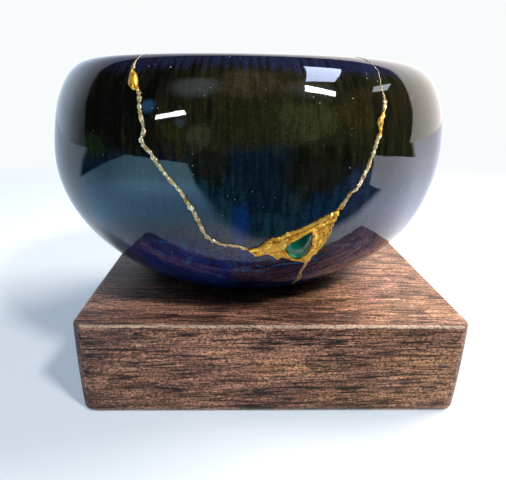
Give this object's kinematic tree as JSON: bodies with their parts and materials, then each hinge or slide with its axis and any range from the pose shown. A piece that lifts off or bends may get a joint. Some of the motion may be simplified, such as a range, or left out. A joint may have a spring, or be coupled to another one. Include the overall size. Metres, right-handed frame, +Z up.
{
  "type": "kintsugi bowl",
  "caption": "Rounded dark glazed bowl with a curled-in lip, mended with gold seams and a gold setting that holds a green stone, standing on a square walnut plinth.",
  "frame": {"origin": "centre of the plinth's underside; the bowl's own axis is the vertical line at x = -7.5 mm", "axes": "+Z up, -Y towards the front where the mend and the stone are, +X to the right seen from the front"},
  "size_m": [0.1179, 0.1178, 0.0904],
  "materials": {
    "walnut": "oiled, fine open grain",
    "glaze": "high gloss, dark cobalt with olive and teal streaks",
    "gold": "crumpled and beaded gold, half matte",
    "stone": "polished, half clear green"
  },
  "bodies": {
    "root": {"walnut_plinth": "walnut", "bowl_body": "glaze", "front_shard": "glaze", "gold_mend": "gold", "green_stone": "stone"}
  },
  "joints": []
}
